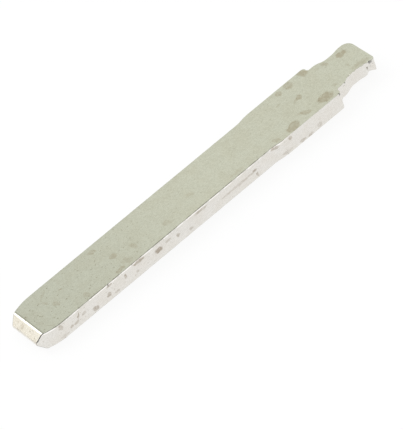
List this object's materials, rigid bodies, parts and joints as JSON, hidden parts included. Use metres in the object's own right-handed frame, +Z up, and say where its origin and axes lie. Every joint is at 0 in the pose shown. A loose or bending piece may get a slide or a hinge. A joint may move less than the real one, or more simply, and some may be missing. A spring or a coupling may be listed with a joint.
{
  "type": "key blank",
  "caption": "Uncut flat key blade of nickel-plated metal, with a bevelled tip, shoulders and a thinner waisted tang for a folding key's head.",
  "frame": {"origin": "middle of the underside's bounding box, on the surface that the blank lies on", "axes": "+X along the blank from the bevelled tip to the tang, +Y across the blade, +Z up from the broad underside"},
  "size_m": [0.0676, 0.0086, 0.0032],
  "materials": {
    "nickel_plate": "thin tumbled nickel plating over brass, dull bright, with brown water stains, fine speckle and a few nicks"
  },
  "bodies": {
    "root": {"key_blank": "nickel_plate"}
  },
  "joints": []
}
